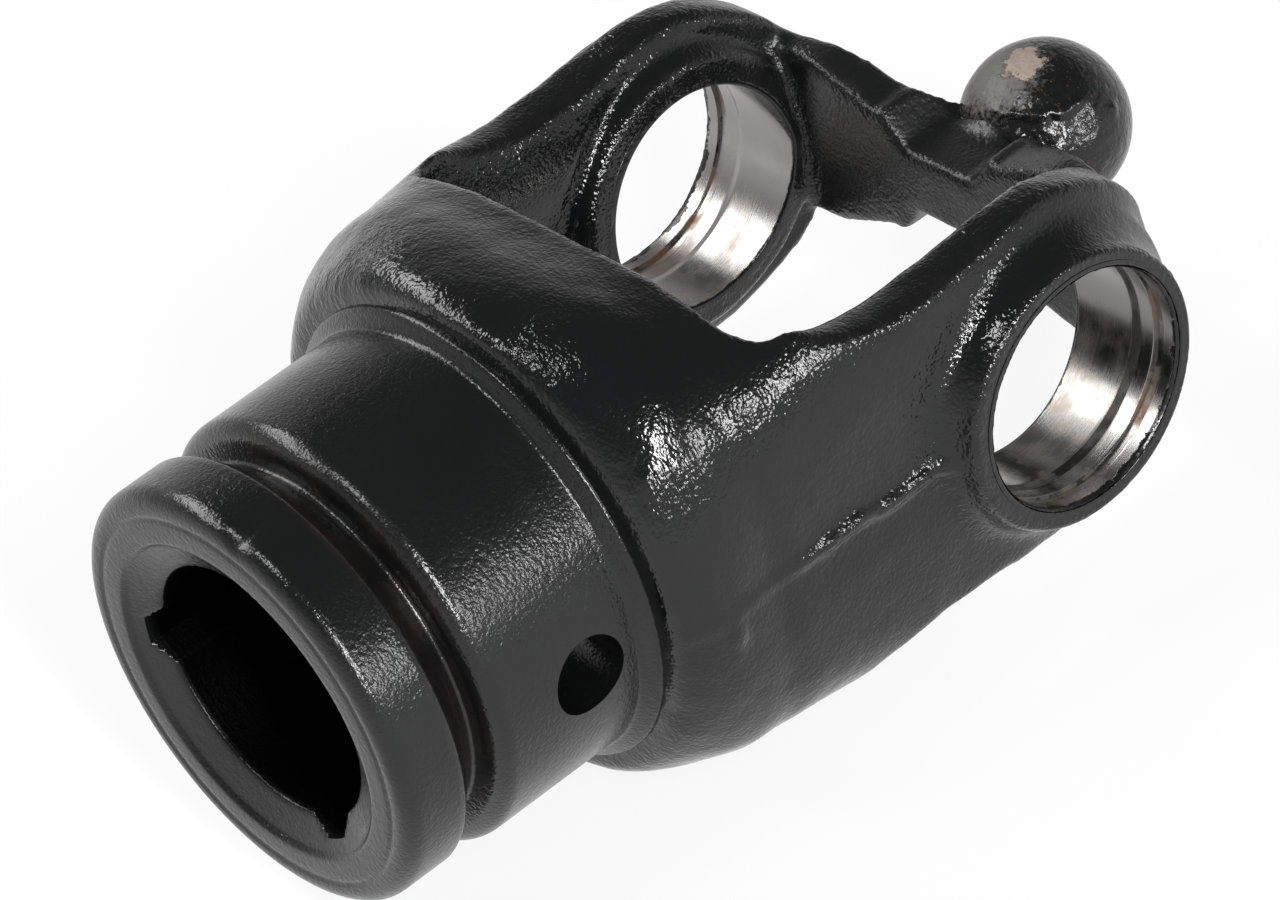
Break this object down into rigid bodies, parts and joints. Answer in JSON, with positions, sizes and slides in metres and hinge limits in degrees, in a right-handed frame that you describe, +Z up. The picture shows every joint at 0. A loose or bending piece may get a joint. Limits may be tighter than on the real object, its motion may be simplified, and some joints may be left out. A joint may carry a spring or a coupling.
{
  "type": "forged yoke",
  "caption": "Forged driveshaft yoke: a turned hub with a lobed tube bore and pin hole, two bored ears, and a bridge with a centring ball.",
  "frame": {"origin": "centre of the cross: the middle of the line through the two ear bores", "axes": "+X along the ear bores; +Y along the hub axis, from the hub towards the ball; +Z up, across both"},
  "size_m": [0.085, 0.1458, 0.0702],
  "materials": {
    "yoke": "semi-gloss black paint over a rough forging, with bare machined bores"
  },
  "bodies": {
    "root": {"yoke": "yoke"}
  },
  "joints": []
}
